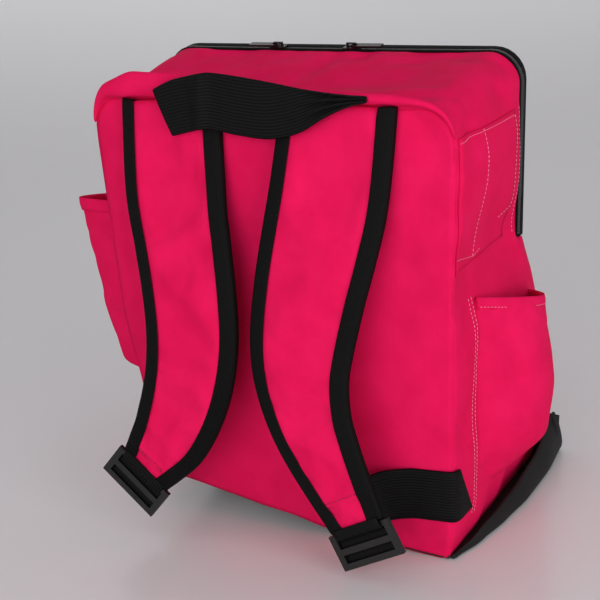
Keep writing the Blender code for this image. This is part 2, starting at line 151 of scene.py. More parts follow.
# plain-woven coated nylon, dyed pink: soft broad highlights, a weave only seen close to
clothLook = {"base": "DC144F", "light": "DE1653", "dark": "D5114C", "rough": 0.72, "weaveMm": 0.55,
    "crumpleMm": 38}
waveStep = 314  # wave texture scale that gives one band per millimetre


def packCloth(name, look):
    mat, tree, shader = newMaterial(name, look["base"], look["rough"], specular=0.04)
    place = addNode(tree, "TexCoord").outputs["Object"]
    clouds = addNode(tree, "TexNoise", {"Scale": 1000 / look["crumpleMm"], "Detail": 3.0, "Roughness": 0.55},
        {"Vector": place})
    spread = addNode(tree, "MapRange", {"From Min": 0.35, "From Max": 0.65}, {"Value": clouds.outputs["Fac"]})
    colourBetween(tree, shader, spread.outputs["Result"], look["dark"], look["light"])
    unevenGloss(tree, shader, look["rough"] - 0.06, look["rough"] + 0.1, clouds.outputs["Fac"])
    # three crossed sets of threads, so that a weave shows whichever way a panel faces
    weave = None
    for axis in "XYZ":
        bands = addNode(tree, "TexWave", {"bands_direction": axis, "Scale": waveStep / look["weaveMm"],
            "Distortion": 0.4}, {"Vector": place})
        threads = bands.outputs["Fac"]
        if weave:
            threads = addNode(tree, "Math", {"operation": "ADD"}, {0: weave, 1: threads}).outputs[0]
        weave = threads
    fold = addNode(tree, "TexNoise", {"Scale": 90.0, "Detail": 4.0, "Roughness": 0.6}, {"Vector": place})
    coarse = addNode(tree, "Bump", {"Strength": 0.2, "Distance": 0.001}, {"Height": fold.outputs["Fac"]})
    fine = addNode(tree, "Bump", {"Strength": 0.25, "Distance": 0.0001},
        {"Height": weave, "Normal": coarse.outputs["Normal"]})
    tree.links.new(fine.outputs["Normal"], shader.inputs["Normal"])
    return mat


# ribbed nylon tape: each rib painted grey as a painted highlight, the rest stays near black
def ribbedTape(name, look):
    mat, tree, shader = newMaterial(name, look["base"], look["rough"], specular=0.1)
    across = addNode(tree, "UVMap", {"uv_map": "lay"}).outputs["UV"]
    ribs = addNode(tree, "TexWave", {"bands_direction": "X", "Scale": waveStep / look["ribMm"],
        "Distortion": 0.25, "Detail": 1.0}, {"Vector": across})
    threads = addNode(tree, "TexWave", {"bands_direction": "Y", "Scale": waveStep / look["threadMm"],
        "Distortion": 0.3}, {"Vector": across})
    # painted highlight: rib tops painted lighter than the black between them
    colourBetween(tree, shader, ribs.outputs["Fac"], look["base"], look["light"])
    height = addNode(tree, "Math", {"operation": "MULTIPLY_ADD", 1: 0.35},
        {0: threads.outputs["Fac"], 2: ribs.outputs["Fac"]})
    bump = addNode(tree, "Bump", {"Strength": 0.7, "Distance": look["ribHigh"]}, {"Height": height.outputs[0]})
    tree.links.new(bump.outputs["Normal"], shader.inputs["Normal"])
    return mat


# a finish with a fine grain: moulded, painted or foamed
def grained(name, look):
    mat, tree, shader = newMaterial(name, look["base"], look["rough"], look.get("metal", 0.0),
        look.get("ior", 1.5), look.get("spec", 0.5), look.get("coat", 0.0))
    place = addNode(tree, "TexCoord").outputs["Object"]
    grain = addNode(tree, "TexNoise", {"Scale": 1000 / look["grainMm"], "Detail": 3.0}, {"Vector": place})
    wear = addNode(tree, "TexNoise", {"Scale": 60.0, "Detail": 2.0}, {"Vector": place})
    colourBetween(tree, shader, wear.outputs["Fac"], look["base"], look["light"])
    unevenGloss(tree, shader, look["rough"] - 0.08, look["rough"] + 0.08, wear.outputs["Fac"])
    bump = addNode(tree, "Bump", {"Strength": look.get("bump", 0.3), "Distance": 0.0002},
        {"Height": grain.outputs["Fac"]})
    tree.links.new(bump.outputs["Normal"], shader.inputs["Normal"])
    return mat


pinkCloth = packCloth("pinkPackCloth", clothLook)
# woven nylon webbing: a painted grey highlight on each rib along it, near black between them
webbingMat = ribbedTape("blackWebbing", {"base": "020202", "light": "121112", "rough": 0.6,
    "ribMm": 2.8, "threadMm": 1.3, "ribHigh": 0.0005})
# folded binding tape: finer and flatter ribs, their painted highlight darker
bindingMat = ribbedTape("blackBindingTape", {"base": "020202", "light": "0A090A", "rough": 0.62,
    "ribMm": 1.6, "threadMm": 2.4, "ribHigh": 0.0004})
# zip tape: the finest weave and the dullest
zipTapeMat = ribbedTape("blackZipTape", {"base": "020202", "light": "090809", "rough": 0.7,
    "ribMm": 1.2, "threadMm": 0.8, "ribHigh": 0.0002})
# nylon zip coil: small bright edges on the teeth
coilMat = grained("blackZipCoil", {"base": "050505", "light": "0D0C0C", "rough": 0.35, "grainMm": 0.8,
    "bump": 0.1})
# coated base cloth: duller than the webbing, scuffed
baseMat = grained("blackCoatedBaseCloth", {"base": "060505", "light": "0E0D0D", "rough": 0.65, "grainMm": 0.6,
    "bump": 0.8, "spec": 0.35})
# moulded acetal: a soft even gloss
acetalMat = grained("blackAcetal", {"base": "060607", "light": "0C0B0C", "rough": 0.36, "grainMm": 0.35,
    "bump": 0.25, "ior": 1.48})
# cast zinc under black paint: sharper glints than the acetal
zincMat = grained("blackPaintedZinc", {"base": "0B0B0C", "light": "1C1B1D", "rough": 0.3, "grainMm": 0.5,
    "bump": 0.15, "metal": 0.6, "coat": 0.3})
# closed-cell foam: matt and open-grained
foamMat = grained("greyFoam", {"base": "3A3939", "light": "4A4949", "rough": 0.95, "grainMm": 0.9, "bump": 1.0,
    "spec": 0.2})
# pressed board: dull black with a broad grain
boardMat = grained("blackBoard", {"base": "161616", "light": "1E1E1E", "rough": 0.55, "grainMm": 1.2,
    "bump": 0.5})
# sewing thread: pale on the pink cloth, black on the strap ends
threadMat = grained("paleThread", {"base": "E87A9B", "light": "F0A0B8", "rough": 0.6, "grainMm": 0.4,
    "bump": 0.3, "spec": 0.3})
blackThreadMat = grained("blackThread", {"base": "161415", "light": "2C292A", "rough": 0.55, "grainMm": 0.4,
    "bump": 0.3, "spec": 0.3})
print("materials made")


def newPiece(name, points, faces, material, body, slotName, uvs=None, shade=True):
    mesh = bpy.data.meshes.new(name)
    mesh.from_pydata([tuple(p) for p in points], [], faces)
    mesh.materials.append(material)
    if uvs:
        layer = mesh.uv_layers.new(name="lay")
        for poly in mesh.polygons:
            for loop in poly.loop_indices:
                layer.data[loop].uv = uvs[mesh.loops[loop].vertex_index]
    for poly in mesh.polygons:
        poly.use_smooth = shade
    obj = bpy.data.objects.new(name, mesh)
    scene.collection.objects.link(obj)
    obj["riding"] = body
    obj["slotName"] = slotName
    return obj


def gridFaces(rows, cols, aroundCols=False, flip=False):
    faces = []
    for i in range(rows - 1):
        for j in range(cols if aroundCols else cols - 1):
            a, b = i * cols + j, i * cols + (j + 1) % cols
            c, d = b + cols, a + cols
            faces.append((a, d, c, b) if flip else (a, b, c, d))
    return faces


def endFaces(rows, n):
    # one face over each end of a tube made of rows of n points
    return [tuple(range(n - 1, -1, -1)), tuple(range((rows - 1) * n, rows * n))]


def shifted(faces, base):
    # the same faces on points that start further down the list
    return [tuple(base + k for k in f) for f in faces]


def gridPiece(name, rows, material=pinkCloth, body="bag", slotName="pink_pack_cloth", aroundCols=False,
        flip=False, capped=False):
    # rows run along the piece; the lay map holds metres across (x) and along (y)
    points, uvs, along = [], [], 0.0
    for i, row in enumerate(rows):
        if i:
            mid = len(row) // 2
            along += (Vector(row[mid]) - Vector(rows[i - 1][mid])).length
        side = 0.0
        for j, p in enumerate(row):
            if j:
                side += (Vector(p) - Vector(row[j - 1])).length
            points.append(Vector(p))
            uvs.append((side, along))
    faces = gridFaces(len(rows), len(rows[0]), aroundCols, flip)
    if capped:
        faces += [f[::-1] if flip else f for f in endFaces(len(rows), len(rows[0]))]
    return newPiece(name, points, faces, material, body, slotName, uvs)


def applied(obj):
    # bakes every modifier into the mesh
    deps = bpy.context.evaluated_depsgraph_get()
    mesh = bpy.data.meshes.new_from_object(obj.evaluated_get(deps))
    obj.modifiers.clear()
    old = obj.data
    obj.data = mesh
    bpy.data.meshes.remove(old)
    return obj


def thicken(obj, mm, outward=-1.0):
    mod = obj.modifiers.new("thick", "SOLIDIFY")
    mod.thickness, mod.offset = mm / 1000, outward
    return applied(obj)


def subdivided(obj):
    mod = obj.modifiers.new("finer", "SUBSURF")
    mod.levels = mod.render_levels = 1
    return applied(obj)


def finishCloth(obj):
    # smoother, and as thick as the pink cloth
    return thicken(subdivided(obj), clothMm)


def pinRim(obj, inner):
    # the rim of an open sheet is held fast and the rest loosely
    bm = bmesh.new()
    bm.from_mesh(obj.data)
    rim = {v.index for v in bm.verts if v.is_boundary}
    bm.free()
    return lambda i: 1.0 if i in rim else inner


def pressed(obj, look, held=None):
    # cloth filled by air and given spare cloth so that it creases; held says how fast each point
    # is held, and none moves more than capMm
    frames, stiff = 16, 15.0
    held = held or pinRim(obj, look["hold"])
    before = [v.co.copy() for v in obj.data.vertices]
    group = obj.vertex_groups.new(name="held")
    for v in obj.data.vertices:
        group.add([v.index], held(v.index), "REPLACE")
    mod = obj.modifiers.new("cloth", "CLOTH")
    s = mod.settings
    s.quality = 6
    s.mass = 0.2
    s.tension_stiffness = s.compression_stiffness = stiff
    s.shear_stiffness = stiff * 0.4
    s.bending_stiffness = 0.6
    s.use_pressure = True
    s.uniform_pressure_force = look["pressure"]
    s.vertex_group_mass = "held"
    s.pin_stiffness = 1.0
    s.shrink_min = -look["spare"]
    s.effector_weights.gravity = 0
    mod.collision_settings.use_collision = False
    mod.point_cache.frame_start, mod.point_cache.frame_end = 1, frames
    for f in range(1, frames + 1):
        scene.frame_set(f)
    applied(obj)
    scene.frame_set(1)
    cap = look["capMm"] / 1000
    for v, b in zip(obj.data.vertices, before):
        step = v.co - b
        if step.length > cap:
            v.co = b + step * (cap / step.length)


def resample(points, step):
    # the same line with points at even steps
    out, carry = [Vector(points[0])], 0.0
    for a, b in zip(points, points[1:]):
        a, b = Vector(a), Vector(b)
        length = (b - a).length
        if length < 1e-9:
            continue
        t = step - carry
        while t <= length:
            out.append(a.lerp(b, t / length))
            t += step
        carry = length - (t - step)
    return out


stitchLook = {"stitchMm": 2.8, "gapMm": 1.4, "radiusMm": 0.26, "sides": 6}


def stitches(name, lines, material=None, body="bag"):
    # each line is points already on the cloth; every stitch is a small rounded thread
    look = stitchLook
    points, faces = [], []
    r, n, stepMm = look["radiusMm"] / 1000, look["sides"], 0.5
    for line in lines:
        fine = resample(line, stepMm / 1000)
        hop, run = int((look["stitchMm"] + look["gapMm"]) / stepMm), int(look["stitchMm"] / stepMm)
        for start in range(0, len(fine) - run, hop):
            a, b = fine[start], fine[start + run]
            mid = fine[start + run // 2]
            d = (b - a).normalized()
            side = d.cross(Vector((0.31, 0.52, 0.79))).normalized()
            rise = d.cross(side)
            base = len(points)
            for q, k in ((a, 0.35), (a.lerp(mid, 0.35), 1.0), (b.lerp(mid, 0.35), 1.0), (b, 0.35)):
                for j in range(n):
                    ang = 2 * pi * j / n
                    points.append(q + side * (r * k * cos(ang)) + rise * (r * k * sin(ang)))
            faces += shifted(gridFaces(4, n, aroundCols=True) + endFaces(4, n), base)
    return newPiece(name, points, faces, material or threadMat, body, "pink_pack_cloth")


# the shape of the bag's skin
skinLook = {"sideCrownMm": 0.5, "backCrownMm": 3, "frontCrownMm": 6, "topSagMm": 4, "waistMm": 3,
    "wrinkleMm": 1.6}


def halfWidth(z):
    return 0.1665 + 0.036 * z


def bagDepth(z):
    return ramp(z, [0.0, 0.06, 0.135, 0.2, hingeZ], [0.23, 0.252, 0.246, 0.205, rimDepth])


def topAt(y):
    return backTop + frontRise * clamp((y - backY) / rimDepth, 0, 1.1)


def settled(p):
    # the empty bag leans on its right side: the lower left corner draws in and lifts
    x, y, z = p
    fade = 1 - 0.6 * smooth(backY, 0.1, y)
    lift = ramp(x, [-0.17, -0.136, -0.003, 0.041, 0.157], [0.038, 0.034, 0.015, 0.006, 0.0]) * fade
    if z < leanTop:
        z = lift + z * (1 - lift / leanTop)
    if x < 0:
        draw = (0.011 * smooth(0.21, 0.11, z) + 0.016 * smooth(0.09, 0.03, z)) * fade
        x += draw * clamp(-x / 0.16)
    else:
        x -= 0.004 * smooth(0.03, 0.0, z) * clamp(x / 0.16)
    return Vector((x, y, z))


def flared(p, s):
    # the upper left front corner is pushed outwards by what the bag holds
    if p.x < 0:
        p.x -= 0.015 * smooth(0.25, 1, s) * smooth(0.33, 0.43, p.z) * smooth(0.04, 0.17, -p.x)
    return p


rowCount = {"low": 22, "high": 10, "arc": 7, "top": 30, "deep": 18}
# how each line of the skin runs: ("side", height at the back) or ("arc", angle of the rounding)
sideRows = [("side", hingeZ * i / rowCount["low"]) for i in range(rowCount["low"] + 1)]
sideRows += [("side", hingeZ + (straightTop - hingeZ) * i / rowCount["high"])
    for i in range(1, rowCount["high"] + 1)]
sideRows += [("arc", 90.0 * i / rowCount["arc"]) for i in range(1, rowCount["arc"])]
topCols = [-1 + 2 * i / rowCount["top"] for i in range(rowCount["top"] + 1)]
zipS = (zipY - tapeHalf - backY) / rimDepth


def skinSide(sign, kind, value, s, out=0.0):
    # point on the left (-1) or right (+1) wall; s runs 0 at the back to 1 at the front
    if kind == "side":
        z0 = value
        y = backY + s * bagDepth(z0)
        z = z0
        if z0 > hingeZ:
            z = hingeZ + (z0 - hingeZ) / (straightTop - hingeZ) * (topAt(y) - cornerR - hingeZ)
        x, nx, nz = halfWidth(z), 1.0, 0.0
    else:
        y = backY + s * rimDepth
        a = radians(value)
        zc = topAt(y) - cornerR
        xc = halfWidth(zc) - cornerR
        x, z, nx, nz = xc + cornerR * cos(a), zc + cornerR * sin(a), cos(a), sin(a)
    crown = skinLook["sideCrownMm"] / 1000 * sin(pi * clamp(s)) * (0.4 + 0.6 * smooth(0, 0.1, z))
    if z > hingeZ - 0.06 and kind == "side":
        crown -= skinLook["waistMm"] / 1000 * sin(pi * clamp(s)) * exp(-((z - 0.275) / 0.045) ** 2)
    p = settled((sign * (x + nx * (crown + out)), y, z + nz * (crown + out)))
    return flared(p, s)


def skinTop(c, s, out=0.0):
    # point on the top, c from -1 to 1 across
    y = backY + s * rimDepth
    zc = topAt(y) - cornerR
    w = halfWidth(zc) - cornerR
    x = w * c
    sag = skinLook["topSagMm"] / 1000 * sin(pi * clamp(s)) * (1 - c * c) ** 0.5
    return flared(Vector((x, y, topAt(y) - sag + out)), s)


def capPoint(kind, value, c, s, crown):
    # point on the back (s = 0) or the front (s = 1) wall, c from -1 to 1 across
    edge = skinSide(1 if c >= 0 else -1, kind, value, s)
    x = abs(edge.x) * c
    z = settled((x, backY, value)).z if kind == "side" and s == 0 else edge.z
    bulge = crown * (1 - c ** 4) * smooth(0.0, 0.06, z) * smooth(topAt(edge.y), topAt(edge.y) - 0.05, z)
    return Vector((x, edge.y + (bulge if s else -bulge), z))


def capRows(s, crownMm):
    rows = [[capPoint(kind, value, c, s, crownMm / 1000) for c in topCols] for kind, value in sideRows]
    return rows + [[skinTop(c, s) for c in topCols]]


def crease(p, a, b, width, depth):
    # a long dent between two places, deepest in the middle
    a, b = Vector(a), Vector(b)
    ab = b - a
    t = clamp((p - a).dot(ab) / ab.length_squared)
    gap = (p - a.lerp(b, t)).length
    return depth * exp(-(gap / width) ** 2) * sin(pi * (0.12 + 0.76 * t))


def wrinkled(obj, creases, amount=1.0, seed=1, free=None):
    # soft uneven waves all over and the creases listed; free(p) fades it out near seams
    mesh = obj.data
    normals = [v.normal.copy() for v in mesh.vertices]
    for v, n in zip(mesh.vertices, normals):
        p = v.co.copy()
        push = skinLook["wrinkleMm"] / 1000 * amount
        push *= 0.6 * wobble(p, 0.06, seed) + 0.4 * wobble(p, 0.023, seed + 4)
        for a, b, width, depth in creases:
            push -= crease(p, a, b, width, depth)
        v.co = p + n * push * (free(p) if free else 1.0)
    mesh.update()


print("skin shape ready")

# back panel, behind the straps
backLook = {"pressure": 0.6, "spare": 0.012, "hold": 0.05, "capMm": 5, "wrinkles": 1.0}
backCreases = [((-0.02, backY, 0.36), (0.0, backY, 0.12), 0.01, 0.003),
    ((0.03, backY, 0.1), (-0.05, backY, 0.06), 0.014, 0.004),
    ((0.165, backY, 0.395), (0.115, backY, 0.18), 0.016, 0.0045),
    ((0.15, backY, 0.27), (0.178, backY, 0.23), 0.009, 0.004),
    ((-0.165, backY, 0.37), (-0.15, backY, 0.22), 0.01, 0.003)]
backSkin = gridPiece("backPanelCloth", capRows(0, skinLook["backCrownMm"]))
pressed(backSkin, backLook)
wrinkled(backSkin, backCreases, backLook["wrinkles"], 2,
    lambda p: smooth(0.0, 0.02, topAt(backY) - p.z) * smooth(0, 0.02, p.z)
    * smooth(0, 0.02, halfWidth(p.z) - abs(p.x)))
finishCloth(backSkin)
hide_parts("back_panel")
print("back panel")

# walls and top in one cloth: the whole depth below the lid's fold, up to the zip tape above it
wallLook = {"pressure": 0.2, "spare": 0.016, "hold": 0.04, "capMm": 5, "wrinkles": 1.3}
evenStops = [i / rowCount["deep"] for i in range(rowCount["deep"] + 1)]
deepStops = sorted({round(zipS, 5)} | {round(s, 5) for s in evenStops if abs(s - zipS) > 0.02})
wallPoints, wallFaces, wallUvs = [], [], []


def addSheet(points, faces, uvs):
    wallFaces.extend(shifted(faces, len(wallPoints)))
    wallPoints.extend(points)
    wallUvs.extend(uvs)


for sign in (-1, 1):
    points = [skinSide(sign, kind, value, s) for kind, value in sideRows for s in deepStops]
    uvs = [(s * 0.2, value) for kind, value in sideRows for s in deepStops]
    cols = len(deepStops)
    faces = []
    for i in range(len(sideRows) - 1):
        for j in range(cols - 1):
            if i >= rowCount["low"] and deepStops[j + 1] > zipS + 1e-4:
                continue
            q = (i * cols + j, i * cols + j + 1, (i + 1) * cols + j + 1, (i + 1) * cols + j)
            faces.append(q if sign > 0 else q[::-1])
    addSheet(points, faces, uvs)
topStops = [s for s in deepStops if s <= zipS + 1e-4]
topRows = [[skinSide(-1, *sideRows[-1], s)] + [skinTop(c, s) for c in topCols] + [skinSide(1, *sideRows[-1], s)]
    for s in topStops]
addSheet([p for row in topRows for p in row], gridFaces(len(topRows), len(topRows[0])),
    [(p.x, p.y) for row in topRows for p in row])
# the sheets are joined into one where they meet
wall = newPiece("bagWallCloth", wallPoints, wallFaces, pinkCloth, "bag", "pink_pack_cloth", wallUvs)
bm = bmesh.new()
bm.from_mesh(wall.data)
bmesh.ops.remove_doubles(bm, verts=bm.verts, dist=0.00005)
loose = [v for v in bm.verts if not v.link_faces]
bmesh.ops.delete(bm, geom=loose, context="VERTS")
bm.to_mesh(wall.data)
bm.free()
pressed(wall, wallLook)
wallCreases = [((-0.012, -0.06, 0.41), (0.006, 0.03, 0.43), 0.005, 0.006),
    ((0.13, -0.09, 0.41), (0.165, 0.01, 0.42), 0.008, 0.005),
    ((0.15, -0.108, 0.41), (0.135, -0.05, 0.42), 0.005, 0.004),
    ((0.165, -0.1, 0.41), (0.16, -0.04, 0.42), 0.005, 0.004),
    ((0.02, 0.012, 0.43), (0.035, 0.036, 0.435), 0.01, 0.007),
    ((0.06, 0.0, 0.43), (0.13, 0.025, 0.435), 0.008, 0.005),
    ((-0.1, -0.07, 0.41), (-0.06, 0.02, 0.43), 0.012, 0.003)]
sideCreases = [(-0.11, 0.398, -0.06, 0.388, 0.005, 0.004), (-0.085, 0.4, -0.05, 0.412, 0.005, 0.004),
    (-0.02, 0.418, -0.005, 0.402, 0.005, 0.006), (-0.1, 0.34, -0.06, 0.3, 0.01, 0.003),
    (-0.04, 0.3, 0.03, 0.27, 0.014, 0.005), (-0.018, 0.302, -0.04, 0.283, 0.005, 0.008),
    (-0.06, 0.2, -0.1, 0.1, 0.01, 0.003)]
for x in (-0.18, 0.18):
    wallCreases += [((x, ya, za), (x, yb, zb), width, depth) for ya, za, yb, zb, width, depth in sideCreases]
wrinkled(wall, wallCreases, wallLook["wrinkles"], 6,
    lambda p: smooth(0, 0.015, p.y - backY) * smooth(0, 0.015, p.z)
    * (smooth(0, 0.012, zipY - tapeHalf - p.y) if p.z > hingeZ - 0.01 else 1))
finishCloth(wall)
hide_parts("left_gusset", "right_gusset", "top_gusset")

# the soft roll over the tops of the straps: round one corner, along the top and round the other
rollLook = {"overhangMm": 9, "unevenness": 0.08, "sides": 16, "straightSteps": 40}
rollZ, rollX = backTop - cornerR, halfWidth(backTop - cornerR) - cornerR


def cornerStops(sign):
    return [(sign * (rollX + cornerR * cos(radians(a))), rollZ + cornerR * sin(radians(a)), a)
        for a in (8, 26, 44, 60, 76)]


n = rollLook["straightSteps"]
rollRows, straight = [], [(-rollX + 2 * rollX * i / n, backTop, 90) for i in range(n + 1)]
for x, z, a in cornerStops(-1) + straight + cornerStops(1)[::-1]:
    high = ramp(x, [-0.182, -0.174, -0.155, -0.128, -0.05, 0.0, 0.03, 0.13, 0.165, 0.182],
        [0.0006, 0.003, 0.008, 0.013, 0.012, 0.0092, 0.007, 0.0056, 0.0035, 0.0006])
    high *= 1 + rollLook["unevenness"] * wobble((x, 0, 0), 0.03, 3)
    ends = smooth(-0.184, -0.15, x) * smooth(0.184, 0.145, x)
    deep = (rollLook["overhangMm"] * (0.12 + 0.88 * ends)) / 1000 * (1 + 0.1 * wobble((x, 0.5, 0), 0.022, 8))
    na = radians(a)
    outX, outZ = (-1 if x < 0 else 1) * cos(na), sin(na)
    row = []
    for k in range(rollLook["sides"]):
        t = 2 * pi * k / rollLook["sides"]
        up = high * (1.0 + sin(t)) + 0.003 * ends * (1 if cos(t) < 0 else -1.5)
        back = -0.004 * ends + deep * cos(t) * (1.0 if cos(t) < 0 else 1.5)
        row.append(Vector((x + outX * up, backY + back, z + outZ * up)))
    rollRows.append(row)
roll = gridPiece("topRollCloth", rollRows, aroundCols=True, capped=True, flip=True)
rollCreases = [((-0.15, -0.125, 0.415), (-0.12, -0.12, 0.43), 0.006, 0.003),
    ((0.14, -0.12, 0.41), (0.13, -0.118, 0.42), 0.004, 0.002)]
wrinkled(roll, rollCreases, 0.9, 12)
subdivided(roll)
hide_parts("top_piping")
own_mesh(roll)
print("top")

# the front wall: the lid above the fold, the fixed panel below it
lidLook = {"pressure": 0.5, "spare": 0.01, "hold": 0.05, "capMm": 5, "wrinkles": 1.0}
hingeRow = rowCount["low"]
frontRows = capRows(1, skinLook["frontCrownMm"])
lid = gridPiece("lidCloth", frontRows[hingeRow:], body="", flip=True)
pressed(lid, lidLook)
wrinkled(lid, [((-0.12, 0.055, 0.4), (0.02, 0.055, 0.3), 0.015, 0.003)], lidLook["wrinkles"], 21,
    lambda p: smooth(0, 0.03, p.z - hingeZ))
finishCloth(lid)
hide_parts("front_lid")
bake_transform(lid)
lower = gridPiece("lowerFrontCloth", frontRows[:hingeRow + 1], flip=True)
wrinkled(lower, [((-0.1, 0.13, 0.12), (0.08, 0.12, 0.18), 0.02, 0.004)], 1.2, 24,
    lambda p: smooth(0, 0.02, hingeZ - p.z) * smooth(0, 0.02, p.z))
finishCloth(lower)
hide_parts("lower_front_panel")
print("front")


def archLine(y, out):
    # points round the arch at one depth, left fold to right fold, pushed out from the cloth
    s = (y - backY) / rimDepth
    rows = sideRows[hingeRow:]
    left = [skinSide(-1, k, v, s, out) for k, v in rows]
    right = [skinSide(1, k, v, s, out) for k, v in rows]
    return left + [skinTop(c, s, out) for c in topCols] + right[::-1]


# zip: two tapes with teeth that mesh, in metres unless it says millimetres
zipLook = {"tapeMm": 0.9, "toothStep": 0.0011, "halfTooth": 0.0024, "toothWide": 0.00075, "toothHigh": 0.0007,
    "overlap": 0.0016}
zipTapes = (("zipTapeOnBag", zipY - tapeHalf - 0.002, zipY - 0.0006, "bag", "zip_tape_body"),
    ("zipTapeOnLid", zipY + 0.0006, 0.0515, "lid", "zip_tape_lid"))
for name, y0, y1, body, node in zipTapes:
    a, b = archLine(y0, 0.0008), archLine(y1, 0.0008)
    rows = [[p, p.lerp(q, 0.5), q] for p, q in zip(a, b)]
    tape = gridPiece(name, rows, zipTapeMat, body, "black_zip_tape", flip=True)
    thicken(tape, zipLook["tapeMm"])
    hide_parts(node)
for name, way, first, body in (("zipTeethOnBag", -1, 3, "bag"), ("zipTeethOnLid", 1, 4, "lid")):
    line = resample(archLine(zipY, 0.0005), zipLook["toothStep"])
    points, faces = [], []
    off, w0, h0 = way * zipLook["overlap"], zipLook["toothWide"], zipLook["toothHigh"]
    for k in range(first, len(line) - 3, 2):
        p = line[k]
        d = (line[k + 1] - line[k - 1]).normalized()
        nrm = d.cross(Vector((0, 1, 0))).normalized()
        base = len(points)
        for dy in (-zipLook["halfTooth"], zipLook["halfTooth"]):
            for u, w in ((-1, -0.6), (-0.6, 1), (0.6, 1), (1, -0.6)):
                points.append(p + Vector((0, off + dy, 0)) + d * (w0 * u) - nrm * (h0 * w))
        faces += shifted(gridFaces(2, 4, aroundCols=True) + endFaces(2, 4), base)
    newPiece(name, points, faces, coilMat, body, "black_zip_tape", shade=False)
print("zip")

# base cloth, skid flap and the fold of base cloth that stands out on the right
baseLook = {"clothMm": 1.6, "skidMm": 2.2, "foldMm": 1.4, "steps": 14, "skidSteps": 21, "foldSteps": 40}
baseRows = []
for i in range(baseLook["steps"] + 1):
    s = i / baseLook["steps"]
    row = []
    for c in topCols:
        p = settled((halfWidth(0) * c, backY + s * bagDepth(0), 0.0))
        p.z += 0.0024
        row.append(p)
    baseRows.append(row)
base = gridPiece("baseCloth", baseRows, baseMat, "bag", "black_base_cloth", flip=True)
thicken(base, baseLook["clothMm"], 1.0)
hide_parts("base_panel")
skidRows = []
for i in range(baseLook["skidSteps"] + 1):
    t = i / baseLook["skidSteps"]
    y = ramp(t, [0, 0.25, 0.5, 0.8, 1], [0.085, 0.115, 0.131, 0.14, 0.1425])
    z = ramp(t, [0, 0.25, 0.5, 0.8, 1], [0.0032, 0.0038, 0.011, 0.036, 0.052])
    row = []
    for k in range(25):
        c = -1 + k / 12
        x = (0.186 if c > 0 else 0.16) * c
        uneven = 0.0012 * wobble((x, y, z), 0.03, 31)
        row.append(Vector((x, y + uneven - 0.01 * smooth(0.5, 1, abs(c)), z - 0.01 * t * smooth(0.6, 1, c))))
    skidRows.append(row)
skid = gridPiece("skidFlapCloth", skidRows, baseMat, "bag", "black_base_cloth")
thicken(skid, baseLook["skidMm"], 1.0)
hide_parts("skid_flap")
# the base cloth stands out past the right wall in a flattened fold
foldRows = []
for i in range(baseLook["foldSteps"] + 1):
    y = -0.113 + 0.252 * i / baseLook["foldSteps"]
    outX = ramp(y, [-0.113, -0.076, -0.029, 0.019, 0.081, 0.139], [0.1685, 0.1795, 0.187, 0.192, 0.192, 0.187])
    high = ramp(y, [-0.113, -0.04, 0.06, 0.139], [0.004, 0.012, 0.022, 0.044])
    foldRows.append([Vector((x, y, z)) for x, z in (
        (0.15, 0.0012), (outX * 0.96, 0.001), (outX, 0.0018), (outX - 0.001, high * 0.35),
        (outX - 0.005, high * 0.75), (0.5 * outX + 0.084, high))])
fold = gridPiece("baseFoldCloth", foldRows, baseMat, "bag", "black_base_cloth")
subdivided(fold)
thicken(fold, baseLook["foldMm"], 0.0)


def insetPanel(name, material, slotName, corners, thick, place):
    # a flat panel inside the skin, drawn in at its ends to round the corners
    rows, n = [], 22
    (a0, a1), (b0, b1) = corners
    for i in range(n + 1):
        v = b0 + (b1 - b0) * i / n
        tight = 0.014 * (1 - min(1, min(i, n - i) / 2.0)) ** 2
        rows.append([place(a0 + tight + (a1 - a0 - 2 * tight) * k / n, v) for k in range(n + 1)])
    panel = gridPiece(name, rows, material, "bag", slotName)
    thicken(panel, thick, 0.0)
    return panel


def boardPlace(x, y):
    p = settled((x, y, 0.0))
    return Vector((p.x * 0.97, p.y, p.z + 0.0062))


def foamPlace(x, z):
    p = settled((x * halfWidth(z) / halfWidth(0.2), backY, z))
    return Vector((p.x * 0.965, backY + 0.0052, p.z))


# corners are left and right, then back and front or bottom and top
panelLook = {"board": ((-0.155, 0.155), (-0.105, 0.103)), "boardMm": 2.4,
    "foam": ((-0.164, 0.164), (0.012, 0.392)), "foamMm": 5.0}
board = insetPanel("baseBoard", boardMat, "plastic_board", panelLook["board"], panelLook["boardMm"], boardPlace)
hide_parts("base_board")
foam = insetPanel("backFoam", foamMat, "foam", panelLook["foam"], panelLook["foamMm"], foamPlace)
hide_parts("back_foam")
print("base")

# side pockets: y0 and y1 are the back and front edges, mouth0 and mouth1 the heights of the mouth there;
# reach is how far it stands out, peak where along, foot and head how full at the floor and the mouth
pocketLook = {
    "right": {"y0": -0.069, "y1": 0.063, "floor": 0.03, "mouth0": 0.238, "mouth1": 0.203, "reach": 0.043,
        "peak": 0.6, "low": 0.3, "round": 0.018, "foot": 0.25, "head": 0.74},
    "left": {"y0": -0.093, "y1": 0.043, "floor": 0.103, "mouth0": 0.302, "mouth1": 0.28, "reach": 0.06,
        "peak": 0.13, "low": 0.05, "round": 0.003, "foot": 0.66, "head": 1.0}}


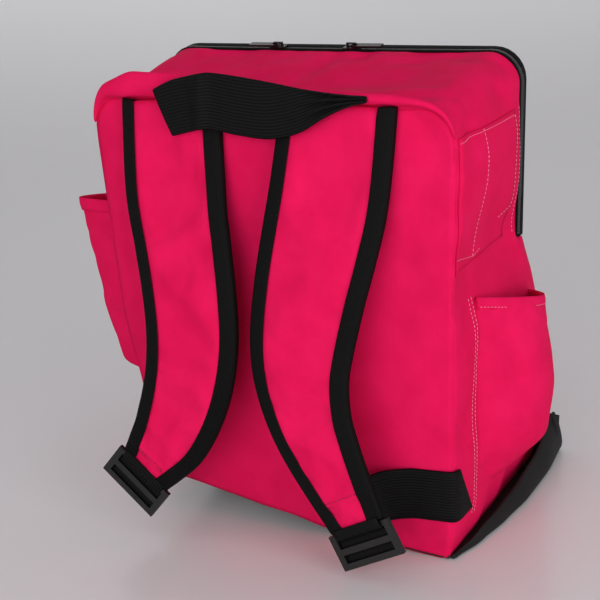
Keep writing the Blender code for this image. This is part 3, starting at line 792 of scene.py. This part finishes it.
def pocketPoint(look, sign, a, b, out=0.0):
    # a runs back to front, b floor to mouth
    y = look["y0"] + (look["y1"] - look["y0"]) * a
    top = look["mouth0"] + (look["mouth1"] - look["mouth0"]) * a
    low = look["floor"] + look["round"] * abs(2 * a - 1) ** 3
    z = low + (top - low) * b
    s = (y - backY) / bagDepth(min(z, hingeZ))
    wall = skinSide(sign, "side", min(z, 0.37), s, 0.0015)
    warp = a ** (log(0.5) / log(look["peak"]))
    swell = sin(pi * warp) ** 0.7
    foot, head = look["foot"], look["head"]
    # one that narrows to its mouth fills out soon; one that stands open goes on widening
    full = [foot + 0.75 * (1 - foot), 1.0, head] if head < 1 else [foot, 0.82, head]
    rise = smooth(0, look["low"], b) * ramp(b, [0, 0.55, 1.0], full)
    wall.x += sign * look["reach"] * swell * rise
    wall.y = y
    wall.x += sign * out
    return wall


pocketFill = {"pressure": 1.6, "spare": 0.03, "hold": 0.02, "capMm": 8}
for side, sign in (("right", 1), ("left", -1)):
    look = pocketLook[side]
    nA, nB = 26, 30
    rows = [[pocketPoint(look, sign, j / nA, i / nB) for j in range(nA + 1)] for i in range(nB + 1)]
    pocket = gridPiece(side + "PocketCloth", rows, flip=sign < 0)
    pressed(pocket, pocketFill)
    sx = sign * 0.2
    y0, y1, low, high0, high1 = [look[k] for k in ("y0", "y1", "floor", "mouth0", "mouth1")]
    pocketCreases = [((sx, y0 + 0.02, high0 - 0.03), (sx, y0 + 0.05, low + 0.07), 0.008, 0.003),
        ((sx, y1 - 0.02, high1 - 0.02), (sx, y1 - 0.04, low + 0.06), 0.008, 0.003),
        ((sx, y0 + 0.015, low + 0.05), (sx, y0 + 0.07, low + 0.02), 0.007, 0.0025)]
    wrinkled(pocket, pocketCreases, 1.6, 41 + sign,
        lambda p: smooth(0, 0.015, p.y - y0) * smooth(0, 0.015, y1 - p.y) * smooth(0, 0.02, p.z - low))
    finishCloth(pocket)
    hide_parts(side + "_side_pocket")
    # hem round the mouth, thickest along its middle
    hemRows = []
    for j in range(41):
        hemRows.append([pocketPoint(look, sign, j / 40, b, 0.0012 + 0.0008 * (1 - abs(2 * k - 4) / 4))
            for k, b in enumerate((0.945, 0.96, 0.975, 0.99, 1.004))])
    hem = gridPiece(side + "PocketHem", hemRows, flip=sign > 0)
    thicken(hem, 1.0)
print("pockets")


def sewnIn(obj, still, moving, start, end):
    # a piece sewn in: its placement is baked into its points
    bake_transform(obj)


def surfaceOf(obj):
    # the cloth as it now lies, to lay patches and stitches on
    return BVHTree.FromPolygons([v.co.copy() for v in obj.data.vertices],
        [tuple(p.vertices) for p in obj.data.polygons])


def laid(surface, sign, y, z, out):
    # the point on a side wall's cloth, seen from outside, lifted by out
    hit, _, _, _ = surface.ray_cast(Vector((sign * 0.4, y, z)), Vector((-sign, 0, 0)))
    return hit + Vector((sign * out, 0, 0)) if hit else Vector((sign * (halfWidth(z) + out), y, z))


wallSurface = surfaceOf(wall)
# side patches, their edges laid lower than their middles
patchLook = {"y0": -0.109, "y1": 0.014, "z0": 0.27, "z1": 0.388, "middle": 0.0016, "edge": 0.0011, "thickMm": 0.9}
for side, sign in (("right", 1), ("left", -1)):
    rows, up, deep = [], 30, 18
    y0, y1, z0, z1 = [patchLook[k] for k in ("y0", "y1", "z0", "z1")]
    for i in range(up + 1):
        z = z0 + (z1 - z0) * i / up
        lifts = [patchLook["middle" if 0 < j < deep and 0 < i < up else "edge"] for j in range(deep + 1)]
        rows.append([laid(wallSurface, sign, y0 + (y1 - y0) * j / deep, z, lift) for j, lift in enumerate(lifts)])
    patch = gridPiece(side + "PatchCloth", rows, flip=sign < 0)
    thicken(patch, patchLook["thickMm"])
    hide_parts(side + "_side_patch")
print("patches")

# shoulder straps; each stop of a route is x, distance behind the back panel, z and width
strapLook = {"padMm": 10.5, "bindingMm": 13, "bindingThickMm": 1.4, "steps": 60, "crossSteps": 18,
    "pressure": 1.2, "spare": 0.02, "capMm": 4}
routes = {"left": [(-0.0895, .0055, .4155, .098), (-0.085, .019, .335, .102), (-0.076, .029, .288, .099),
    (-0.068, .038, .247, .096), (-0.064, .045, .208, .093),
    (-0.067, .05, .172, .088), (-0.077, .053, .138, .082), (-0.091, .056, .108, .074),
    (-0.108, .058, .085, .062), (-0.122, .06, .068, .052)],
    "right": [(0.0795, .0055, .4165, .102), (0.072, .019, .343, .106), (0.065, .029, .3, .104),
    (0.057, .038, .258, .1), (0.05, .045, .213, .095),
    (0.05, .05, .18, .089), (0.057, .053, .146, .081), (0.07, .056, .116, .073),
    (0.086, .058, .085, .063), (0.103, .06, .053, .053)]}


def along(points, f):
    # uniform Catmull-Rom through rows of numbers, f from 0 to 1
    n = len(points) - 1
    i = min(int(f * n), n - 1)
    t = f * n - i
    p1, p2 = points[i], points[i + 1]
    p0 = points[i - 1] if i else [2 * a - b for a, b in zip(p1, p2)]
    p3 = points[i + 2] if i + 2 <= n else [2 * b - a for a, b in zip(p1, p2)]
    return [0.5 * (2 * b + (c - a) * t + (2 * a - 5 * b + 4 * c - d) * t * t + (3 * b - a - 3 * c + d) * t ** 3)
        for a, b, c, d in zip(p0, p1, p2, p3)]


def strapStation(side, f):
    # middle of the strap, unit across, half width
    x, out, z, width = along(routes[side], f)
    x2, _, z2, _ = along(routes[side], min(f + 0.01, 1))
    x1, _, z1, _ = along(routes[side], max(f - 0.01, 0))
    down = Vector((x2 - x1, 0, z2 - z1)).normalized()
    across = Vector((-down.z, 0, down.x))
    level = smooth(0.06, 0.0, f)
    across = (across * (1 - level) + Vector((1, 0, 0)) * level).normalized()
    return Vector((x, backY - out, z)), across, width / 2


def strapPoint(side, f, c, face):
    # c from -1 to 1 across; face +1 is the outer face, -1 the lining; crowned between the bindings
    mid, across, half = strapStation(side, f)
    thick = strapLook["padMm"] / 1000 * (1 - 0.15 * smooth(0.6, 0.9, f) - 0.45 * smooth(0.915, 0.94, f))
    swell = (1 - abs(c) ** 3.2) ** 0.6
    edge = 0.4
    y = face * thick / 2 * (edge + (1 - edge) * swell)
    return mid + across * (half * c) + Vector((0, -y, 0))


for side in ("left", "right"):
    n, m = strapLook["steps"], strapLook["crossSteps"]
    # sewn in under the roll: two places on the seam, one above the other
    seam = ((routes[side][0][0], backY - 0.006, 0.409), (routes[side][0][0], backY - 0.009, 0.384))
    rows = []
    for i in range(n + 1):
        f = i / n
        front = [strapPoint(side, f, (-1 + 2 * j / m) * 0.975, 1) for j in range(m + 1)]
        lining = [strapPoint(side, f, (1 - 2 * j / m) * 0.975, -1) for j in range(m + 1)]
        rows.append(front + lining)
    pad = gridPiece(side + "StrapPad", rows, body="", aroundCols=True, capped=True)
    held = {}
    cols = 2 * (m + 1)
    for i in range(n + 1):
        for j in range(cols):
            c = abs(-1 + 2 * (j % (m + 1)) / m)
            held[i * cols + j] = 1.0 if c > 0.72 or i in (0, n) else 0.02
    pressed(pad, strapLook, held.get)
    wrinkled(pad, [], 0.7, 61)
    subdivided(pad)
    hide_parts(side + "_strap_foam", side + "_strap_face", side + "_strap_lining")
    sewnIn(pad, "bag", side + "_strap", *seam)
    inward = 1 if side == "left" else -1
    for edgeName, sgn in (("inner", inward), ("outer", -inward)):
        rows = []
        for i in range(n + 1):
            f = i / n
            mid, across, half = strapStation(side, f)
            cover = strapLook["bindingMm"] / 1000 / half
            lift = strapLook["bindingThickMm"] / 1000 * 0.75
            stops = [sgn * (1 - cover * k) for k in (1, 0.7, 0.35, 0.1)]
            row = [strapPoint(side, f, c, 1) + Vector((0, -lift, 0)) for c in stops]
            for ang in (55, 20, -20, -55):
                r = strapLook["padMm"] / 1000 * 0.25 * (1 - 0.5 * smooth(0.86, 1.0, f))
                wide = half + 0.0012 - 0.001 + 0.0014 * cos(radians(ang))
                row.append(mid + across * (sgn * wide) + Vector((0, -(r + lift) * sin(radians(ang)) * 1.1, 0)))
            rows.append(row + [strapPoint(side, f, c, -1) + Vector((0, lift, 0)) for c in reversed(stops)])
        tape = gridPiece(side + edgeName.capitalize() + "Binding", rows, bindingMat, "", "black_webbing",
            flip=sgn < 0)
        thicken(tape, strapLook["bindingThickMm"], -1.0)
        subdivided(tape)
        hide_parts(side + "_" + edgeName + "_binding")
        sewnIn(tape, "bag", side + "_strap", *seam)
    # two rows of stitches across the end, by the lock's loop
    lines = []
    for f in (0.912, 0.926):
        half = strapStation(side, f)[2]
        cover = strapLook["bindingMm"] / 1000 / half
        lines.append([strapPoint(side, f, (1 - cover) * (-1 + 2 * k / 14), 1) + Vector((0, -0.0012, 0))
            for k in range(15)])
    stitches(side + "TongueStitches", lines, blackThreadMat, side + "_strap")
print("straps")

# lock loops and webbing; each lock is the middle of its bar, then across, up and outward
webLook = {"wide": 0.05, "loopMm": 1.6, "lowerMm": 1.8, "handleMm": 2.0, "threadedMm": 1.6,
    "threadedHalf": 0.0288}
locks = {
    "left": ((-0.12439, -0.17535, 0.06518), (0.7653, 0, -0.6436),
        (0.6408, 0.0944, 0.7619), (0.0608, -0.9955, 0.0723)),
    "right": ((0.10475, -0.1752, 0.04974), (0.8823, 0, 0.4707),
        (-0.4699, 0.0548, 0.881), (-0.0258, -0.9985, 0.0484))}
for side in ("left", "right"):
    bar, X, U, Z = [Vector(v) for v in locks[side]]
    rows = []
    for i in range(21):
        # up the front, over the bar and down behind it
        t = i / 20
        if t < 0.32:
            k = t / 0.32
            u, o = 0.007 * (1 - k) + 0.0015 * k, 0.0042
        elif t < 0.68:
            a = pi * (t - 0.32) / 0.36
            u, o = 0.0015 - 0.0052 * sin(a), 0.0042 * cos(a)
        else:
            k = (t - 0.68) / 0.32
            u, o = 0.0015 * (1 - k) + 0.015 * k, -0.0042
        rows.append([bar + X * (webLook["wide"] / 2 * (-1 + j / 6)) + U * u + Z * o for j in range(13)])
    loop = gridPiece(side + "LockLoop", rows, webbingMat, side + "_strap", "black_webbing")
    thicken(loop, webLook["loopMm"], 0.0)
    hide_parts(side + "_buckle_loop")
print("loops")

# upper and lower edge of the handle's webbing, left end to the gathered right end
handleEdges = [(-0.0985, -0.1345, 0.426, -0.0795, -0.137, 0.385),
    (-0.077, -0.1365, 0.435, -0.068, -0.138, 0.388), (-0.058, -0.1375, 0.4395, -0.057, -0.1375, 0.3905),
    (-0.0435, -0.1415, 0.4425, -0.049, -0.1415, 0.3925),
    (-0.034, -0.1362, 0.4425, -0.037, -0.1375, 0.3925),
    (-0.006, -0.1372, 0.44, -0.008, -0.138, 0.3885),
    (0.022, -0.1375, 0.4362, 0.022, -0.1385, 0.387), (0.05, -0.1378, 0.432, 0.05, -0.1382, 0.3935),
    (0.0715, -0.137, 0.429, 0.075, -0.1372, 0.4075),
    (0.094, -0.1345, 0.4262, 0.094, -0.135, 0.416), (0.11, -0.1285, 0.4242, 0.111, -0.13, 0.42)]
handleRows = []
for i in range(73):
    stop = along(handleEdges, i / 72)
    top, low = Vector(stop[:3]), Vector(stop[3:])
    gathered = smooth(0.05, 0.02, (top - low).length)
    waves = [-0.001 * (1 - (k / 6 - 1) ** 2) - 0.0022 * gathered * sin(k * 1.7) for k in range(13)]
    handleRows.append([low.lerp(top, k / 12) + Vector((0, out, 0)) for k, out in enumerate(waves)])
handle = gridPiece("haulHandleWebbing", handleRows, webbingMat, "handle", "black_webbing")
thicken(handle, webLook["handleMm"], 0.0)
subdivided(handle)
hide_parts("haul_handle")

# middle of each lower webbing, from the bag to the lock
webRoutes = {"right": [(0.1745, -0.098, 0.0665), (0.1715, -0.1165, 0.066), (0.155, -0.1205, 0.066),
    (0.13, -0.1235, 0.065), (0.108, -0.134, 0.062), (0.101, -0.15, 0.056), (0.103, -0.166, 0.044)],
    "left": [(-0.1585, -0.1, 0.0785), (-0.1545, -0.1165, 0.078), (-0.147, -0.1205, 0.077),
    (-0.136, -0.127, 0.076), (-0.124, -0.14, 0.072), (-0.121, -0.154, 0.066),
    (-0.124, -0.167, 0.058)]}
for side in ("left", "right"):
    bar, X, U, Z = [Vector(v) for v in locks[side]]
    rows = []
    for i in range(49):
        t = i / 48
        p = Vector(along(webRoutes[side], t))
        wide = Vector((0, -0.03, 1)).lerp(U, smooth(0.55, 1, t)).normalized()
        slant = Vector((0, 0.012 * (1 - smooth(0.0, 0.16, t)), 0))
        rows.append([p + wide * (webLook["wide"] * (k / 8 - 0.5)) - slant * (k / 4 - 1) for k in range(9)])
    web = gridPiece(side + "LowerWebbing", rows, webbingMat, "", "black_webbing")
    thicken(web, webLook["lowerMm"], 0.0)
    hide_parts(side + "_lower_webbing")
    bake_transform(web)
    # the stretch of webbing threaded behind the bars of the lock
    rows = []
    for i in range(25):
        t = i / 24
        u = 0.002 - 0.0335 * t
        o = -0.004
        for rise in (0.2, 0.6):
            o += 0.0022 * sin(pi * clamp((t - rise) / 0.3))
        rows.append([bar + X * (webLook["threadedHalf"] * (k / 6 - 1)) + U * u + Z * o for k in range(13)])
    threaded = gridPiece(side + "ThreadedWebbing", rows, webbingMat, side + "_buckle", "black_webbing")
    thicken(threaded, webLook["threadedMm"], -1.0)
print("webbing")

# the hard parts keep their CAD shape and take better materials
for side in ("left", "right"):
    for part, mat in (("_ladder_lock", acetalMat), ("_zip_slider", zincMat), ("_zip_pull", zincMat)):
        for slot in frame["nodes"][side + part].material_slots:
            slot.link, slot.material = "OBJECT", mat


def sideLine(sign, places, out):
    # a line of stitching on a side wall, through places given as (y, z)
    line = []
    for (y0, z0), (y1, z1) in zip(places, places[1:]):
        line += [laid(wallSurface, sign, y0 + (y1 - y0) * k / 15, z0 + (z1 - z0) * k / 15, out)
            for k in range(16)]
    return line


for side, sign in (("right", 1), ("left", -1)):
    look = pocketLook[side]
    y0, y1, z0, z1 = patchLook["y0"], patchLook["y1"] - 0.003, patchLook["z0"], patchLook["z1"] - 0.004
    patchRuns = [[(y0, z1), (-0.06, z1 + 0.001), (y1, z1)],
        [(-0.062, z1 + 0.003), (-0.058, 0.36), (-0.064, z0 + 0.001)],
        [(y1, z1), (y1, 0.3), (y1 - 0.018, 0.292)], [(y0, 0.284), (-0.062, z0 + 0.004), (-0.045, z0 + 0.008)]]
    stitches(side + "PatchStitches", [sideLine(sign, run, 0.0019) for run in patchRuns])
    stitches(side + "WallStitches", [sideLine(sign, [(0.0305, 0.27), (0.0305, 0.39)], 0.0004)])
    seams = [sideLine(sign, [(y, look["floor"]), (y, look["mouth0"] + 0.004)], 0.0004)
        for y in (look["y0"] - 0.003, look["y0"] - 0.008)]
    hemWall = surfaceOf(bpy.data.objects[side + "PocketHem"])
    hemLine = []
    for k in range(61):
        p = pocketPoint(look, sign, 0.02 + 0.96 * k / 60, 0.957)
        hemLine.append(laid(hemWall, sign, p.y, p.z, 0.0003))
    stitches(side + "PocketStitches", seams + ([hemLine] if side == "right" else []))
print("stitches")

# every piece rides on its body; the ones with no body of their own are left unattached
for obj in list(bpy.data.objects):
    if obj.get("riding"):
        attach(obj, obj["riding"])

# the sweep runs away from the camera, which stands 30 degrees to the right: distance and height
away, side = Vector((-0.5, 0.866, 0)), Vector((0.866, 0.5, 0))
profile = [(-4.0, 0.0), (-1.0, 0.0), (0.0, 0.0), (0.8, 0.0), (1.4, 0.0), (1.8, 0.03), (2.15, 0.16),
    (2.4, 0.42), (2.5, 0.8), (2.55, 2.0), (2.6, 5.0)]
sweepRows = [[away * d + side * s + Vector((0, 0, z - 0.0004)) for s in (-5, -2, 0, 2, 5)] for d, z in profile]
# matt sweep, painted a little lighter where it rises into the wall: painted light, brighter on the wall than on
# the floor
sweepMat, sweepTree, sweepShader = newMaterial("paleSweep", "CFCDCE", 0.24, specular=0.7)
sweepPlace = addNode(sweepTree, "TexCoord").outputs["Object"]
sweepHeight = addNode(sweepTree, "SeparateXYZ", None, {"Vector": sweepPlace}).outputs["Z"]
paintedWallLight = addNode(sweepTree, "MapRange", {"From Min": 0.0, "From Max": 0.35},
    {"Value": sweepHeight}).outputs["Result"]
# painted light: floor colour below, lighter wall colour above
colourBetween(sweepTree, sweepShader, paintedWallLight, "DAD7D8", "FBFBFB")
sweep = gridPiece("studioSweep", sweepRows, sweepMat, "", "")
sweepFiner = sweep.modifiers.new("finer", "SUBSURF")
sweepFiner.levels = sweepFiner.render_levels = 3


def areaLight(name, place, aim, size, watts):
    light = bpy.data.lights.new(name, "AREA")
    light.shape, light.size, light.energy = "SQUARE", size, watts
    obj = bpy.data.objects.new(name, light)
    obj.location = place
    obj.rotation_euler = (Vector(aim) - Vector(place)).to_track_quat("-Z", "Y").to_euler()
    scene.collection.objects.link(obj)


areaLight("softKey", (0.1, -2.4, 0.65), (0, 0, 0.1), 2.0, 30)
areaLight("softFill", (2.2, -1.2, 0.5), (0, 0, 0.05), 1.6, 36)
areaLight("softTop", (-0.3, 0.2, 2.6), (0, 0.1, 0.3), 2.0, 4)
world = bpy.data.worlds.new("studioAir")
world.use_nodes = True
air = world.node_tree.nodes["Background"].inputs
air["Color"].default_value, air["Strength"].default_value = (0.95, 0.96, 1.0, 1), 0.45
scene.world = world

camData = bpy.data.cameras.new("view")
camData.lens, camData.sensor_width = 78, 36
cam = bpy.data.objects.new("view", camData)
scene.collection.objects.link(cam)
place = Vector((0.57867, -1.07206, 0.61634))
az, el, tip = radians(30), radians(19.02), radians(-4)
back = Vector((sin(az) * cos(el), -cos(az) * cos(el), sin(el)))
rightWay = (-back).cross(Vector((0, 0, 1))).normalized()
upWay = rightWay.cross(-back).normalized()
tippedRight = rightWay * cos(tip) + upWay * sin(tip)
tippedUp = -rightWay * sin(tip) + upWay * cos(tip)
cam.matrix_world = Matrix([(tippedRight[k], tippedUp[k], back[k], place[k]) for k in range(3)] + [(0, 0, 0, 1)])
scene.camera = cam
scene.view_settings.view_transform = "Standard"
